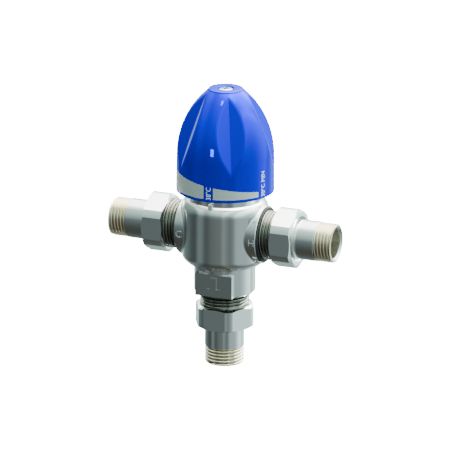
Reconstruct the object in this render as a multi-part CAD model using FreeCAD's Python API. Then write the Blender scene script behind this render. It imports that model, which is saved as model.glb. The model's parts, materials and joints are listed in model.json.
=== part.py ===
"""Three-way thermostatic mixing valve with union connections.

Frame: millimetres, +Z up the spindle, +X towards the hot inlet, -Y towards the front of the valve.
The origin is the centre of the outlet tail's end face. Everything is laid out as heights above and
below the axis of the two inlets, and write_part() lifts it into place.
A port is laid out along its own +Z, which points out of the body, with zero on the port's shoulder.
"""
import FreeCAD, Part
import math
import os

V = FreeCAD.Vector
UP = V(0, 0, 1)
FULL_TURN = 360.0
WIRE_SIDES = 8              # springs' wire is drawn many-sided
RING_SIDES = 12             # and so are the O-rings' sections

# ---- clearances -----------------------------------------------------------------------------------
FIXED_FIT = 0.02            # radial gap of pieces that stay put in their seat
RUNNING_FIT = 0.08          # radial gap of pieces that slide or turn in each other
END_FLOAT = 0.10            # axial gap between a moving piece and its stop
SEAL_GAP = 0.02             # what an O-ring leaves free above and below it
SEAL_SIDE_ROOM = 0.4        # how much wider than its ring a groove is
STOP_GAP_DEG = 1.0          # angle left between the knob's stop rib and its stop at either end

# ---- body casting ---------------------------------------------------------------------------------
BARREL_R = 23.0             # straight side of the barrel
DOME_DROP_IN = 3.0          # how far the rounded top closes in to its flat face
DOME_RISE = 5.5             # and how high it rises
BELLY_DROP_IN = 3.0         # the rounded underside likewise
BELLY_FALL = 4.2
RIM_HEIGHT = 0.7            # plain rim below the underside's rounding
RIM_LEDGE = 3.6             # from the rim in to the neck that goes down to the outlet's shoulder
NECK_EDGE = 1.0             # chamfer at the neck's lower end
BOSS_R = 15.6               # side bosses that carry the inlets
BOSS_OVERREACH = 3.3        # how far they reach into the barrel's roundings, above and below
BOSS_STEP = 0.2             # how far a boss's shoulder stands out past the barrel
CAST_FILLET = 0.8           # where the bosses meet the barrel
CAST_EDGE = 0.3             # broken edge of the shoulders and the rim
OUTLET_SHOULDER = 33.6      # outlet's shoulder below the inlets' axis
PAD_PROUD = -0.2            # spanner pads: flats against the neck's radius
PAD_HALF_WIDTH = 10.5
PAD_TOP_DROP = 3.4          # pad's top below the rim
PAD_LIFT = 0.6              # pad's foot above the outlet's shoulder
NUB_WIDTH = 2.4             # index nub that the dial is read against
NUB_THICK = 1.5
NUB_GAP = 0.15              # gap between the nub and the bonnet's flange
NUB_RISE = 1.9              # its top above the dome's flat face
NUB_DEPTH = 4.0             # its height down the dome

# ---- ports ----------------------------------------------------------------------------------------
PORT_CORE_R = 12.06         # core of the G3/4 outside thread
PORT_LENGTH = 13.0          # shoulder to end face
PORT_EDGE = 0.8             # chamfer at the end of the thread
PORT_WALL = 2.46
INLET_DEPTH = 16.7          # inlet's bore, from its end face
INLET_FLOOR = 3.5           # metal between that bore and the gallery behind it

# ---- mixing chamber -------------------------------------------------------------------------------
DIVIDER_HALF = 1.6          # land between the two galleries, which the shuttle's seal runs on
GALLERY_HEIGHT = 5.9
GALLERY_DEPTH = 3.5         # galleries' depth behind the chamber's wall
PASSAGE_HALF_WIDTH = 5.5    # window from an inlet's bore into its gallery
COLD_LAND = 1.5             # chamber wall above the cold gallery
HOT_LAND = 3.0              # chamber wall below the hot gallery
OUTLET_BORE_STEP = 2.5      # from the chamber's wall in to the outlet bore, round the wax element
LEDGE_WIDTH = 2.4           # return spring's ledge
LEDGE_DROP = 4.0            # its depth below the wax cup
SOCKET_RIM = 3.5            # metal round the threaded socket for the bonnet
BONNET_SEAL_WIRE = 1.5      # O-ring in a counterbore at the socket's mouth

# ---- union nut, gasket and tail -------------------------------------------------------------------
NUT_LENGTH = 12.4
NUT_ACROSS_FLATS = 29.6
NUT_CORNER = 1.2            # corners are turned down to this much above the flats
NUT_FACE_DROP = 0.6         # end faces' edge below the flats
NUT_CHAMFER = 1.0           # height of the chamfer between the two
NUT_LIP = 1.7               # lip that draws the tail's collar in
NUT_LIP_GAP = 0.3           # radial gap round the tail
NUT_SINK = 1.3              # countersink round the tail at the outer face
GASKET_THICK = 2.0
GASKET_BORE_R = 8.3
COLLAR_GAP = 0.16           # collar's radius below the port's core
COLLAR_THICK = 2.6
TAIL_R = 10.6               # plain part of the tail
TAIL_PLAIN = 12.9           # its length past the collar
TAIL_THREAD_R = 10.478      # G1/2 outside thread over its crests
TAIL_THREAD = 9.6           # from the plain part to the end face
TAIL_RELIEF = 0.9           # runout groove between the plain part and the thread
TAIL_RELIEF_R = 9.32
TAIL_EDGE = 0.8             # chamfer at the tail's end
TAIL_BORE_R = 8.0
TAIL_MOUTH = 1.1            # chamfer inside the tail's mouth

# ---- check valve and strainer in each inlet -------------------------------------------------------
CHECK_LENGTH = 11.0
CHECK_WALL = 2.1
ARM_ROOT = 0.5              # how far the hub's arms run into that wall
CHECK_SEAT = 1.5            # thickness of the seat at the inlet end
CHECK_SEAT_LAND = 0.9       # how far the poppet covers the seat
CHECK_HUB_R = 2.4           # hub that guides the poppet's stem
CHECK_HUB_START = 2.0
CHECK_HUB_LENGTH = 2.2
CHECK_ARM = 1.4             # thickness of the hub's arms
CHECK_ARMS = 3
CHECK_GROOVE_START = 5.0
CHECK_SEAL_WIRE = 1.1
CHECK_LIFT = 1.8            # how far a poppet opens
POPPET_GAP = 1.0            # water way round the poppet
POPPET_THICK = 1.5
POPPET_NOSE = 0.9           # cone that enters the seat
STEM_R = 1.1
STEM_ROOM = 0.5             # free end of the stem, with the valve open, above the cartridge's inner end
CHECK_SPRING_WIRE = 0.22    # radius of the wire
CHECK_SPRING_TURNS = 3
STRAINER_WALL = 0.6
STRAINER_RIM = 0.9
STRAINER_FOOT_R = 5.6
STRAINER_SLOTS = 10
STRAINER_SLOT = 1.3

# ---- shuttle, seats and wax element ---------------------------------------------------------------
SHUTTLE_HALF = 5.0
SHUTTLE_WALL = 1.7
SHUTTLE_WEB = 3.0           # thickness of the web that holds the hub
SHUTTLE_HUB_R = 6.0
SHUTTLE_HOLES = 6
SHUTTLE_HOLE_EDGE = 0.45    # metal left on each side of a hole
SHUTTLE_SEAL_WIRE = 1.0
SHUTTLE_STROKE = 0.9        # travel either way from mid position
HOT_SEAT_WALL = 2.3
GUIDE_R = 4.0               # element's neck, which the shuttle is pressed on
GUIDE_TOP = 6.0
CUP_BOTTOM = 22.0           # element's wax cup
CUP_FLANGE_GAP = 1.3        # water way round its flange
CUP_FLANGE_STEP = 2.7       # flange past the cup's side
CUP_FLANGE_TOP = 3.5        # flange under the shuttle's hub
CUP_FLANGE_THICK = 2.5
PIN_R = 1.5
PIN_FOOT = 2.0              # pin's lower end, below the inlets' axis
PIN_ROOM = 0.7              # free depth under it when it is furthest in
RETURN_SPRING_WIRE = 0.65   # radius of the wire
RETURN_SPRING_TURNS = 6

# ---- adjuster, which hangs in the bonnet above the element ----------------------------------------
ADJUSTER_LEAD = 3.0         # rise for a whole turn of the knob, on a left-hand thread
PIN_SHOW = 2.6              # pin between the element's guide and the thrust cup
PIN_SOCKET = 1.8            # depth of the cup's socket
THRUST_BOSS_R = 3.2
THRUST_BOSS_SHOW = 0.4      # boss below the adjuster nut
THRUST_FLANGE = 1.2
RETAINER_LIFT = 0.7         # retaining ring above the nut's lower end
RETAINER_THICK = 0.9
RETAINER_WALL = 1.7
RETAINER_GROOVE = 0.5
ADJUSTER_R = 8.1
ADJUSTER_WALL = 1.5         # round the overtravel spring
ADJUSTER_THREAD = 7.0
ADJUSTER_HEADROOM = 0.4     # left above the nut at the top of its travel
LUG_HEIGHT = 6.0
LUG_REACH = 2.2             # keyway's depth past the nut's side
KEYWAY_WIDTH = 3.2
OVERTRAVEL_LENGTH = 5.2
OVERTRAVEL_SPRING_WIRE = 0.5
OVERTRAVEL_SPRING_TURNS = 4
OVERTRAVEL_SPRING_GAP = 0.35

# ---- bonnet ---------------------------------------------------------------------------------------
SKIRT_WALL = 1.9            # skirt that ends in the cold seat
FLANGE_INSET = 0.4          # flange's edge in from the edge of the body's top
FLANGE_THICK = 6.0
FLANGE_EDGE = 0.6
BONNET_HEX = 27.0           # across flats
BONNET_HEX_HEIGHT = 6.0
COLUMN_R = 10.0
COLUMN_NECK_R = 8.4
COLUMN_NECK = 6.0           # height of the narrower top of the column
GLAND = 11.6                # spindle's bore above the thrust shoulder
STOP_INSET = 0.4            # stop segment on the flange, in from its edge
STOP_DEPTH = 3.0            # its radial thickness
STOP_HEIGHT = 3.6

# ---- spindle --------------------------------------------------------------------------------------
SPINDLE_R = 5.0
THRUST_COLLAR_R = 7.2
THRUST_COLLAR = 2.6
SPINDLE_SEALS = 2
SPINDLE_SEAL_STEP = 4.0
SPINDLE_SEAL_START = 2.2    # first one above the thrust shoulder
SPINDLE_SEAL_WIRE = 1.3
CLIP_THICK = 1.0
CLIP_WALL = 3.0
CLIP_GROOVE = 0.9           # depth of its groove
CLIP_GAP = 3.2              # opening of the circlip
SPLINE_TEETH = 18
SPLINE_DEPTH = 0.6
SPLINE_LENGTH = 16.5        # in the knob's hub
SPLINE_RUNOUT = 1.0         # below it
SCREW_HOLE = 11.0

# ---- knob -----------------------------------------------------------------------------------------
RING_SHOW = 4.6             # bonnet's flange that shows below the knob
KNOB_R = 26.05              # skirt at its lower edge
KNOB_DRAFT = 0.18           # how much the skirt closes in up to the dome
KNOB_SKIRT = 19.6           # height of the skirt; the dome's arc leaves it here
KNOB_HEIGHT = 55.6
KNOB_TOP_R = 8.6            # flat disc on top
KNOB_WALL = 2.2
KNOB_TOP_WALL = 3.0
FLUTES = 5
FLUTE_ANGLE = -61.0         # bearing of the first flute
FLUTE_START = 15.2          # a flute's crease runs out on the skirt this far up
FLUTE_END_DROP = 2.8        # and on the dome this far below the top
FLUTE_BOW = 0.5             # how far the crease bows outwards
FLUTE_OVERRUN = 0.6         # how far it runs on past either end, as a part of half its length
FLUTE_SLOPE = 21.0          # slope of a flute's walls against the tangent
HUB_R = 7.4
HUB_GAP = 2.4               # between the circlip and the knob's hub
RIBS = 5
RIB_THICK = 1.6
RIB_RISE = 8.5              # ribs' lower edge above the hub's
STOP_RIB_THICK = 2.4
STOP_RIB_ANGLE = 90.0       # bearing of the knob's stop rib at rest
TURN_TO_MIN = 72.0          # knob's travel from the rest mark, clockwise
TURN_TO_MAX = 144.0         # and anticlockwise
HEAD_R = 3.9                # knob screw's head
HEAD_HEIGHT = 2.2
HEAD_CROWN_R = 2.2          # flat middle of the head
HEAD_SINK = 0.2             # head's top below the knob's disc
HEAD_GAP = 0.4
SHANK_R = 1.95

# ---- worked out from the above: body and ports ----------------------------------------------------
BARREL_HALF = BOSS_R - BOSS_OVERREACH
DOME_TOP = BARREL_HALF + DOME_RISE
DOME_R = BARREL_R - DOME_DROP_IN
RIM_TOP = -BARREL_HALF - BELLY_FALL
RIM_R = BARREL_R - BELLY_DROP_IN
RIM_BOTTOM = RIM_TOP - RIM_HEIGHT
NECK_R = RIM_R - RIM_LEDGE
INLET_SHOULDER = BARREL_R + BOSS_STEP
INLET_BORE_R = PORT_CORE_R - PORT_WALL
INLET_FLOOR_X = INLET_SHOULDER + PORT_LENGTH - INLET_DEPTH
GALLERY_R = INLET_FLOOR_X - INLET_FLOOR
CHAMBER_R = GALLERY_R - GALLERY_DEPTH
OUTLET_BORE_R = CHAMBER_R - OUTLET_BORE_STEP
THROAT_R = OUTLET_BORE_R - LEDGE_WIDTH
SOCKET_R = DOME_R - SOCKET_RIM
GALLERY_FAR = DIVIDER_HALF + GALLERY_HEIGHT
SOCKET_FLOOR = GALLERY_FAR + COLD_LAND
SEAT_LEDGE = -GALLERY_FAR - HOT_LAND
SPRING_LEDGE = -CUP_BOTTOM - LEDGE_DROP
SEAL_SEAT_R = SOCKET_R + BONNET_SEAL_WIRE
SEAL_SEAT_FLOOR = DOME_TOP - BONNET_SEAL_WIRE

# along a port, out from its shoulder
GASKET_END = PORT_LENGTH + GASKET_THICK
COLLAR_END = GASKET_END + COLLAR_THICK
NUT_END = COLLAR_END + END_FLOAT + NUT_LIP
NUT_START = NUT_END - NUT_LENGTH
TAIL_PLAIN_END = COLLAR_END + TAIL_PLAIN
TAIL_END = TAIL_PLAIN_END + TAIL_THREAD
COLLAR_R = PORT_CORE_R - COLLAR_GAP
CHECK_START = INLET_FLOOR_X - INLET_SHOULDER
CHECK_END = CHECK_START + CHECK_LENGTH
CHECK_BORE_R = INLET_BORE_R - CHECK_WALL
CHECK_HUB_END = CHECK_START + CHECK_HUB_START + CHECK_HUB_LENGTH
POPPET_R = CHECK_BORE_R - POPPET_GAP
CHECK_SEAT_R = POPPET_R - CHECK_SEAT_LAND
POPPET_FACE = CHECK_END - CHECK_SEAT - END_FLOAT / 2
POPPET_BACK = POPPET_FACE - POPPET_THICK
AXIS_HEIGHT = OUTLET_SHOULDER + TAIL_END            # inlets' axis above the outlet tail's end face

# ---- worked out from the above: inside the chamber and the bonnet ---------------------------------
NUT_RISE = ADJUSTER_LEAD * TURN_TO_MAX / FULL_TURN
NUT_FALL = ADJUSTER_LEAD * TURN_TO_MIN / FULL_TURN
SHUTTLE_R = CHAMBER_R - RUNNING_FIT
SHUTTLE_BORE_R = SHUTTLE_R - SHUTTLE_WALL
SEAT_HEIGHT = SHUTTLE_HALF + SHUTTLE_STROKE + END_FLOAT
CUP_FLANGE_R = OUTLET_BORE_R - CUP_FLANGE_GAP
CUP_R = CUP_FLANGE_R - CUP_FLANGE_STEP
CUP_FLANGE_BOTTOM = -CUP_FLANGE_TOP - CUP_FLANGE_THICK
THRUST_BOSS_BOTTOM = GUIDE_TOP + PIN_SHOW
PIN_TOP = THRUST_BOSS_BOTTOM + PIN_SOCKET
PIN_WELL = -PIN_FOOT - SHUTTLE_STROKE - NUT_FALL - PIN_ROOM
ADJUSTER_BOTTOM = THRUST_BOSS_BOTTOM + THRUST_BOSS_SHOW
RETAINER_BOTTOM = ADJUSTER_BOTTOM + RETAINER_LIFT
RETAINER_TOP = RETAINER_BOTTOM + RETAINER_THICK
THRUST_TOP = RETAINER_TOP + THRUST_FLANGE
ADJUSTER_ROOM_R = ADJUSTER_R - ADJUSTER_WALL
ADJUSTER_ROOM_TOP = THRUST_TOP + OVERTRAVEL_LENGTH
ADJUSTER_TOP = ADJUSTER_ROOM_TOP + ADJUSTER_THREAD
ADJUSTER_BORE_R = ADJUSTER_R + RUNNING_FIT
ADJUSTER_BORE_TOP = ADJUSTER_TOP + NUT_RISE + ADJUSTER_HEADROOM
KEYWAY_REACH = ADJUSTER_R + LUG_REACH
FLANGE_R = DOME_R - FLANGE_INSET
FLANGE_TOP = DOME_TOP + FLANGE_THICK
THRUST_SHOULDER = ADJUSTER_BORE_TOP + THRUST_COLLAR + 2 * END_FLOAT
BONNET_TOP = THRUST_SHOULDER + GLAND
STOP_R = FLANGE_R - STOP_INSET
STOP_INNER_R = STOP_R - STOP_DEPTH
SPINDLE_BORE_R = SPINDLE_R + RUNNING_FIT
CLIP_BOTTOM = BONNET_TOP + END_FLOAT
CLIP_TOP = CLIP_BOTTOM + CLIP_THICK

# ---- worked out from the above: knob --------------------------------------------------------------
HUB_BOTTOM = CLIP_TOP + HUB_GAP
SPINDLE_TOP = HUB_BOTTOM + SPLINE_LENGTH
KNOB_BOTTOM = DOME_TOP + RING_SHOW
KNOB_DOME_START = KNOB_BOTTOM + KNOB_SKIRT
KNOB_TOP = KNOB_BOTTOM + KNOB_HEIGHT
DIAL_R = KNOB_R - KNOB_DRAFT                        # skirt where the dome starts
DOME_SPAN_R = DIAL_R - KNOB_TOP_R
DOME_SPAN_Z = KNOB_TOP - KNOB_DOME_START
DOME_ARC_R = (DOME_SPAN_R ** 2 + DOME_SPAN_Z ** 2) / (2 * DOME_SPAN_R)
HEAD_TOP = KNOB_TOP - HEAD_SINK
HEAD_BOTTOM = HEAD_TOP - HEAD_HEIGHT


# ---- building blocks ------------------------------------------------------------------------------
def turned(*outline):
    """Solid of revolution about +Z. A point is (radius, height); four numbers are an arc's middle and end."""
    points = [V(step[-2], 0, step[-1]) for step in outline]
    edges = []
    for i, step in enumerate(outline):
        start, end = points[i - 1], points[i]
        if len(step) == 4:
            edges.append(Part.Arc(start, V(step[0], 0, step[1]), end).toShape())
        else:
            edges.append(Part.makeLine(start, end))
    face = Part.Face(Part.Wire(edges))
    return face.revolve(V(0, 0, 0), UP, FULL_TURN)


def rod(radius, bottom, top):
    return Part.makeCylinder(radius, top - bottom, V(0, 0, bottom))


def ring(outer, inner, bottom, top):
    return turned((inner, bottom), (outer, bottom), (outer, top), (inner, top))


def block(x0, x1, y0, y1, z0, z1):
    return Part.makeBox(x1 - x0, y1 - y0, z1 - z0, V(x0, y0, z0))


def prism(corners, bottom, top):
    """Upright prism on a list of (x, y) corners."""
    points = [V(x, y, bottom) for x, y in corners]
    face = Part.Face(Part.makePolygon(points + points[:1]))
    return face.extrude(V(0, 0, top - bottom))


def polar(radius, degrees):
    return radius * math.cos(math.radians(degrees)), radius * math.sin(math.radians(degrees))


def hexagon(across_flats, bottom, top):
    """Hexagonal prism with two corners on the X axis."""
    corner_r = across_flats / math.sqrt(3)
    return prism([polar(corner_r, 60 * i) for i in range(6)], bottom, top)


def around(shape, count, start=0.0):
    """The shape repeated evenly about +Z, as one compound."""
    copies = []
    for i in range(count):
        copy = shape.copy()
        copy.rotate(V(0, 0, 0), UP, start + i * FULL_TURN / count)
        copies.append(copy)
    return Part.makeCompound(copies)


def o_ring(groove_r, wall_r, height):
    """O-ring between a groove's floor and the wall it seals on, centred at a height."""
    section_r = (wall_r - groove_r) / 2 - SEAL_GAP
    middle_r = (groove_r + wall_r) / 2
    corners = [polar(section_r, i * FULL_TURN / RING_SIDES) for i in range(RING_SIDES)]
    return turned(*[(middle_r + x, height + z) for x, z in corners])


def coil_spring(radius, wire_r, bottom, top, turns):
    """Open-coiled compression spring that stands between two faces."""
    rise = top - bottom - 2 * wire_r - 2 * FIXED_FIT
    start = bottom + wire_r + FIXED_FIT
    helix = Part.makeHelix(rise / turns, rise, radius)
    path = Part.Wire(helix.Edges)
    corners = [polar(wire_r, i * FULL_TURN / WIRE_SIDES) for i in range(WIRE_SIDES)]
    points = [V(radius + x, 0, z) for x, z in corners]
    section = Part.makePolygon(points + points[:1])
    spring = path.makePipeShell([section], True, True)
    spring.translate(V(0, 0, start))
    return spring


def splined(radius, teeth, depth, bottom, top):
    """Splined shaft with flat-sided teeth."""
    corners = []
    for i in range(2 * teeth):
        corners.append(polar(radius - depth * (i % 2), i * 180 / teeth))
    return prism(corners, bottom, top)


def to_inlet(shape, side):
    """Stands a port piece on the hot (side = 1) or cold (side = -1) inlet's shoulder."""
    shape = shape.copy()
    shape.rotate(V(0, 0, 0), V(0, 1, 0), 90 * side)
    shape.translate(V(side * INLET_SHOULDER, 0, 0))
    return shape


def to_outlet(shape):
    shape = shape.copy()
    shape.rotate(V(0, 0, 0), V(1, 0, 0), 180)
    shape.translate(V(0, 0, -OUTLET_SHOULDER))
    return shape


def write_part(name, shape):
    shape = shape.removeSplitter()
    shape.translate(V(0, 0, AXIS_HEIGHT))
    os.makedirs("parts", exist_ok=True)
    shape.exportStep(f"parts/{name}.step")


# ---- body -----------------------------------------------------------------------------------------
def rounding_point(drop_in, rise):
    """Middle of the arc that leaves the barrel's side upright and closes in by drop_in over rise."""
    arc_r = (drop_in ** 2 + rise ** 2) / (2 * drop_in)
    half_angle = math.asin(rise / arc_r) / 2
    return arc_r * (1 - math.cos(half_angle)), arc_r * math.sin(half_angle)


def body_outside():
    dome_in, dome_up = rounding_point(DOME_DROP_IN, DOME_RISE)
    belly_in, belly_down = rounding_point(BELLY_DROP_IN, BELLY_FALL)
    barrel = turned(
        (0, DOME_TOP),
        (0, -OUTLET_SHOULDER),
        (NECK_R - NECK_EDGE, -OUTLET_SHOULDER),
        (NECK_R, -OUTLET_SHOULDER + NECK_EDGE),
        (NECK_R, RIM_BOTTOM),
        (RIM_R - CAST_EDGE, RIM_BOTTOM),
        (RIM_R, RIM_BOTTOM + CAST_EDGE),
        (RIM_R, RIM_TOP),
        (BARREL_R - belly_in, -BARREL_HALF - belly_down, BARREL_R, -BARREL_HALF),
        (BARREL_R, BARREL_HALF),
        (BARREL_R - dome_in, BARREL_HALF + dome_up, DOME_R, DOME_TOP),
    )
    boss = turned(
        (0, -INLET_SHOULDER),
        (BOSS_R, -INLET_SHOULDER),
        (BOSS_R, -CAST_EDGE),
        (BOSS_R - CAST_EDGE, 0),
        (0, 0),
    )
    casting = barrel.fuse([to_inlet(boss, side) for side in (-1, 1)])
    seams = [edge for edge in casting.Edges if edge.Curve.TypeId == "Part::GeomBSplineCurve"]
    casting = casting.makeFillet(CAST_FILLET, seams)

    pad_top = RIM_BOTTOM - PAD_TOP_DROP
    pad_foot = -OUTLET_SHOULDER + PAD_LIFT
    pad_face = NECK_R + PAD_PROUD
    pads = block(-PAD_HALF_WIDTH, PAD_HALF_WIDTH, -pad_face, pad_face, pad_foot, pad_top)
    shave = block(-NECK_R, NECK_R, pad_face, NECK_R + 1, pad_foot, pad_top)
    nub_top = DOME_TOP + NUB_RISE
    nub_back = -FLANGE_R - NUB_GAP
    nub = block(-NUB_WIDTH / 2, NUB_WIDTH / 2, nub_back - NUB_THICK, nub_back, nub_top - NUB_DEPTH, nub_top)
    return casting.fuse([pads, nub]).cut(around(shave, 2))


def port_stub():
    """Threaded stub of a port, with the thread cut down to its core."""
    return turned(
        (0, -1),
        (PORT_CORE_R, -1),
        (PORT_CORE_R, PORT_LENGTH - PORT_EDGE),
        (PORT_CORE_R - PORT_EDGE, PORT_LENGTH),
        (0, PORT_LENGTH),
    )


def body_cavity():
    """Chamber, galleries, bonnet socket and outlet passage, all about the spindle's axis."""
    outlet_face = -OUTLET_SHOULDER - PORT_LENGTH
    return turned(
        (0, outlet_face - 1),
        (THROAT_R, outlet_face - 1),
        (THROAT_R, SPRING_LEDGE),
        (OUTLET_BORE_R, SPRING_LEDGE),
        (OUTLET_BORE_R, SEAT_LEDGE),
        (CHAMBER_R, SEAT_LEDGE),
        (CHAMBER_R, -GALLERY_FAR),
        (GALLERY_R, -GALLERY_FAR),
        (GALLERY_R, -DIVIDER_HALF),
        (CHAMBER_R, -DIVIDER_HALF),
        (CHAMBER_R, DIVIDER_HALF),
        (GALLERY_R, DIVIDER_HALF),
        (GALLERY_R, GALLERY_FAR),
        (CHAMBER_R, GALLERY_FAR),
        (CHAMBER_R, SOCKET_FLOOR),
        (SOCKET_R, SOCKET_FLOOR),
        (SOCKET_R, SEAL_SEAT_FLOOR),
        (SEAL_SEAT_R, SEAL_SEAT_FLOOR),
        (SEAL_SEAT_R, DOME_TOP + 1),
        (0, DOME_TOP + 1),
    )


def inlet_cavity(side):
    """Inlet bore, and the window from it up to the cold gallery or down to the hot one."""
    bore = to_inlet(rod(INLET_BORE_R, CHECK_START, PORT_LENGTH + 1), side)
    low, high = sorted((-side * DIVIDER_HALF, -side * GALLERY_FAR))
    near, far = sorted((side * CHAMBER_R, side * (INLET_FLOOR_X + 1)))
    window = block(near, far, -PASSAGE_HALF_WIDTH, PASSAGE_HALF_WIDTH, low, high)
    return [bore, window]


def valve_body():
    stubs = [to_inlet(port_stub(), 1), to_inlet(port_stub(), -1), to_outlet(port_stub())]
    casting = body_outside().fuse(stubs)
    return casting.cut([body_cavity()] + inlet_cavity(1) + inlet_cavity(-1))


# ---- union: nut, gasket and tail, laid out along the port -----------------------------------------
def union_nut():
    flat_r = NUT_ACROSS_FLATS / 2
    blank = hexagon(NUT_ACROSS_FLATS, NUT_START, NUT_END)
    turned_outline = turned(
        (0, NUT_START),
        (flat_r - NUT_FACE_DROP, NUT_START),
        (flat_r + NUT_CORNER, NUT_START + NUT_CHAMFER),
        (flat_r + NUT_CORNER, NUT_END - NUT_CHAMFER),
        (flat_r - NUT_FACE_DROP, NUT_END),
        (0, NUT_END),
    )
    bore_r = PORT_CORE_R + RUNNING_FIT
    lip_r = TAIL_R + NUT_LIP_GAP
    opening = turned(
        (0, NUT_START - 1),
        (bore_r, NUT_START - 1),
        (bore_r, COLLAR_END + END_FLOAT),
        (lip_r, COLLAR_END + END_FLOAT),
        (lip_r, NUT_END - NUT_SINK),
        (lip_r + NUT_SINK, NUT_END),
        (lip_r + NUT_SINK, NUT_END + 1),
        (0, NUT_END + 1),
    )
    return blank.common(turned_outline).cut(opening)


def union_gasket():
    return ring(COLLAR_R, GASKET_BORE_R, PORT_LENGTH, GASKET_END)


def union_tail():
    return turned(
        (TAIL_BORE_R, GASKET_END),
        (COLLAR_R, GASKET_END),
        (COLLAR_R, COLLAR_END),
        (TAIL_R, COLLAR_END),
        (TAIL_R, TAIL_PLAIN_END),
        (TAIL_RELIEF_R, TAIL_PLAIN_END),
        (TAIL_RELIEF_R, TAIL_PLAIN_END + TAIL_RELIEF),
        (TAIL_THREAD_R, TAIL_PLAIN_END + TAIL_RELIEF),
        (TAIL_THREAD_R, TAIL_END - TAIL_EDGE),
        (TAIL_THREAD_R - TAIL_EDGE, TAIL_END),
        (TAIL_BORE_R + TAIL_MOUTH, TAIL_END),
        (TAIL_BORE_R, TAIL_END - TAIL_MOUTH),
    )


# ---- check valve and strainer, laid out along the port --------------------------------------------
def check_housing():
    outer_r = INLET_BORE_R - FIXED_FIT
    groove = CHECK_START + CHECK_GROOVE_START
    groove_end = groove + CHECK_SEAL_WIRE + SEAL_SIDE_ROOM
    groove_r = INLET_BORE_R - CHECK_SEAL_WIRE
    shell = turned(
        (CHECK_BORE_R, CHECK_START),
        (outer_r, CHECK_START),
        (outer_r, groove),
        (groove_r, groove),
        (groove_r, groove_end),
        (outer_r, groove_end),
        (outer_r, CHECK_END),
        (CHECK_SEAT_R, CHECK_END),
        (CHECK_SEAT_R, CHECK_END - CHECK_SEAT),
        (CHECK_BORE_R, CHECK_END - CHECK_SEAT),
    )
    hub_start = CHECK_START + CHECK_HUB_START
    hub = rod(CHECK_HUB_R, hub_start, CHECK_HUB_END)
    reach = CHECK_BORE_R + ARM_ROOT
    arm = block(0, reach, -CHECK_ARM / 2, CHECK_ARM / 2, hub_start, CHECK_HUB_END)
    guide = rod(STEM_R + RUNNING_FIT, hub_start - 1, CHECK_HUB_END + 1)
    return shell.fuse([hub, around(arm, CHECK_ARMS)]).cut(guide)


def check_seal():
    groove_middle = CHECK_START + CHECK_GROOVE_START + (CHECK_SEAL_WIRE + SEAL_SIDE_ROOM) / 2
    return o_ring(INLET_BORE_R - CHECK_SEAL_WIRE, INLET_BORE_R, groove_middle)


def check_poppet():
    stem_end = CHECK_START + STEM_ROOM + CHECK_LIFT
    nose_r = CHECK_SEAT_R - 2 * RUNNING_FIT
    return turned(
        (0, stem_end),
        (STEM_R, stem_end),
        (STEM_R, POPPET_BACK),
        (POPPET_R, POPPET_BACK),
        (POPPET_R, POPPET_FACE),
        (nose_r, POPPET_FACE),
        (nose_r - POPPET_NOSE, POPPET_FACE + POPPET_NOSE),
        (0, POPPET_FACE + POPPET_NOSE),
    )


def check_spring():
    radius = CHECK_HUB_R - CHECK_SPRING_WIRE
    return coil_spring(radius, CHECK_SPRING_WIRE, CHECK_HUB_END, POPPET_BACK, CHECK_SPRING_TURNS)


def strainer():
    rim_r = INLET_BORE_R - FIXED_FIT
    top_r = rim_r - STRAINER_WALL
    foot = CHECK_END
    rim = PORT_LENGTH - STRAINER_RIM
    basket = turned(
        (0, foot),
        (STRAINER_FOOT_R, foot),
        (top_r, rim),
        (rim_r, rim),
        (rim_r, PORT_LENGTH),
        (top_r - STRAINER_WALL, PORT_LENGTH),
        (top_r - STRAINER_WALL, rim),
        (STRAINER_FOOT_R - STRAINER_WALL, foot + STRAINER_WALL),
        (0, foot + STRAINER_WALL),
    )
    slot = block(STRAINER_FOOT_R, rim_r, -STRAINER_SLOT / 2, STRAINER_SLOT / 2,
                 foot + 2 * STRAINER_WALL, rim - STRAINER_WALL)
    return basket.cut(around(slot, STRAINER_SLOTS))


# ---- shuttle, seats and wax element ---------------------------------------------------------------
def shuttle():
    """Sleeve that closes one seat as it opens the other, with a pierced web and a hub on the element."""
    groove_r = SHUTTLE_R - SHUTTLE_SEAL_WIRE
    groove_half = (SHUTTLE_SEAL_WIRE + SEAL_SIDE_ROOM) / 2
    half_web = SHUTTLE_WEB / 2
    shell = turned(
        (SHUTTLE_BORE_R, -SHUTTLE_HALF),
        (SHUTTLE_R, -SHUTTLE_HALF),
        (SHUTTLE_R, -groove_half),
        (groove_r, -groove_half),
        (groove_r, groove_half),
        (SHUTTLE_R, groove_half),
        (SHUTTLE_R, SHUTTLE_HALF),
        (SHUTTLE_BORE_R, SHUTTLE_HALF),
        (SHUTTLE_BORE_R, half_web),
        (GUIDE_R + FIXED_FIT, half_web),
        (GUIDE_R + FIXED_FIT, -CUP_FLANGE_TOP),
        (SHUTTLE_HUB_R, -CUP_FLANGE_TOP),
        (SHUTTLE_HUB_R, -half_web),
        (SHUTTLE_BORE_R, -half_web),
    )
    circle_r = (SHUTTLE_HUB_R + SHUTTLE_BORE_R) / 2
    hole_r = (SHUTTLE_BORE_R - SHUTTLE_HUB_R) / 2 - SHUTTLE_HOLE_EDGE
    hole = Part.makeCylinder(hole_r, SHUTTLE_WEB + 2, V(circle_r, 0, -half_web - 1))
    return shell.cut(around(hole, SHUTTLE_HOLES))


def shuttle_seal():
    return o_ring(SHUTTLE_R - SHUTTLE_SEAL_WIRE, CHAMBER_R, 0)


def hot_seat_ring():
    outer_r = CHAMBER_R - FIXED_FIT
    return ring(outer_r, outer_r - HOT_SEAT_WALL, SEAT_LEDGE, -SEAT_HEIGHT)


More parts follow.
